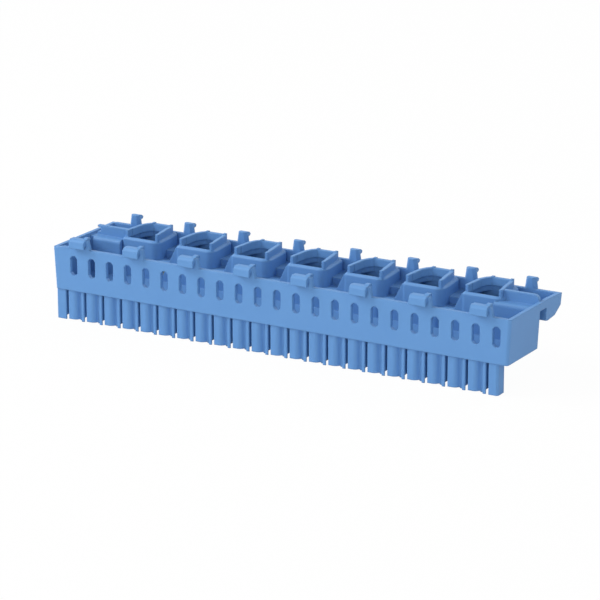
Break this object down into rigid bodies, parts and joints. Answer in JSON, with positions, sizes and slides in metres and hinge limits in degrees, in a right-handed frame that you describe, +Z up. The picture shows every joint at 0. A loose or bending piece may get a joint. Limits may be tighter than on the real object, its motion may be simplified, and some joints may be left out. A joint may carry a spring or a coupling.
{
  "type": "terminal block",
  "caption": "Blue rail of screw clamps in one moulded body, with a slotted front wall, hooks on both edges and a leg comb below.",
  "frame": {"origin": "middle of the outer box in plan, at the level of the leg tips", "axes": "+X along the row towards the right end as seen from the front, +Y from the slotted wall to the towers, +Z up, the way the drivers come in"},
  "size_m": [0.1216, 0.0282, 0.0207],
  "materials": {
    "housing": "satin moulded blue",
    "bar": "plain stamped brass",
    "cage": "zinc plated steel",
    "screw": "zinc plated steel"
  },
  "bodies": {
    "housing": {"housing": "housing", "bar": "bar"},
    "cage_1": {"cage_1": "cage"},
    "screw_1": {"screw_1": "screw"},
    "cage_2": {"cage_2": "cage"},
    "screw_2": {"screw_2": "screw"},
    "cage_3": {"cage_3": "cage"},
    "screw_3": {"screw_3": "screw"},
    "cage_4": {"cage_4": "cage"},
    "screw_4": {"screw_4": "screw"},
    "cage_5": {"cage_5": "cage"},
    "screw_5": {"screw_5": "screw"},
    "cage_6": {"cage_6": "cage"},
    "screw_6": {"screw_6": "screw"},
    "cage_7": {"cage_7": "cage"},
    "screw_7": {"screw_7": "screw"}
  },
  "joints": [
    {"name": "screw_1_turn", "type": "hinge", "parent": "housing", "child": "screw_1", "pos_m": [-0.0459, 0.00725, 0.0134], "axis": [0, 0, -1], "range_deg": [0, 1170]},
    {"name": "cage_1_rise", "type": "slide", "parent": "housing", "child": "cage_1", "axis": [0, 0, 1], "range_m": [0, 0.0026]},
    {"name": "screw_2_turn", "type": "hinge", "parent": "housing", "child": "screw_2", "pos_m": [-0.0306, 0.00725, 0.0134], "axis": [0, 0, -1], "range_deg": [0, 1170]},
    {"name": "cage_2_rise", "type": "slide", "parent": "housing", "child": "cage_2", "axis": [0, 0, 1], "range_m": [0, 0.0026]},
    {"name": "screw_3_turn", "type": "hinge", "parent": "housing", "child": "screw_3", "pos_m": [-0.0153, 0.00725, 0.0134], "axis": [0, 0, -1], "range_deg": [0, 1170]},
    {"name": "cage_3_rise", "type": "slide", "parent": "housing", "child": "cage_3", "axis": [0, 0, 1], "range_m": [0, 0.0026]},
    {"name": "screw_4_turn", "type": "hinge", "parent": "housing", "child": "screw_4", "pos_m": [0, 0.00725, 0.0134], "axis": [0, 0, -1], "range_deg": [0, 1170]},
    {"name": "cage_4_rise", "type": "slide", "parent": "housing", "child": "cage_4", "axis": [0, 0, 1], "range_m": [0, 0.0026]},
    {"name": "screw_5_turn", "type": "hinge", "parent": "housing", "child": "screw_5", "pos_m": [0.0153, 0.00725, 0.0134], "axis": [0, 0, -1], "range_deg": [0, 1170]},
    {"name": "cage_5_rise", "type": "slide", "parent": "housing", "child": "cage_5", "axis": [0, 0, 1], "range_m": [0, 0.0026]},
    {"name": "screw_6_turn", "type": "hinge", "parent": "housing", "child": "screw_6", "pos_m": [0.0306, 0.00725, 0.0134], "axis": [0, 0, -1], "range_deg": [0, 1170]},
    {"name": "cage_6_rise", "type": "slide", "parent": "housing", "child": "cage_6", "axis": [0, 0, 1], "range_m": [0, 0.0026]},
    {"name": "screw_7_turn", "type": "hinge", "parent": "housing", "child": "screw_7", "pos_m": [0.0459, 0.00725, 0.0134], "axis": [0, 0, -1], "range_deg": [0, 1170]},
    {"name": "cage_7_rise", "type": "slide", "parent": "housing", "child": "cage_7", "axis": [0, 0, 1], "range_m": [0, 0.0026]}
  ],
  "couplings": [
    {"joint": "screw_1_turn", "follows": "cage_1_rise", "rad_per_m": 7854},
    {"joint": "screw_2_turn", "follows": "cage_2_rise", "rad_per_m": 7854},
    {"joint": "screw_3_turn", "follows": "cage_3_rise", "rad_per_m": 7854},
    {"joint": "screw_4_turn", "follows": "cage_4_rise", "rad_per_m": 7854},
    {"joint": "screw_5_turn", "follows": "cage_5_rise", "rad_per_m": 7854},
    {"joint": "screw_6_turn", "follows": "cage_6_rise", "rad_per_m": 7854},
    {"joint": "screw_7_turn", "follows": "cage_7_rise", "rad_per_m": 7854}
  ]
}
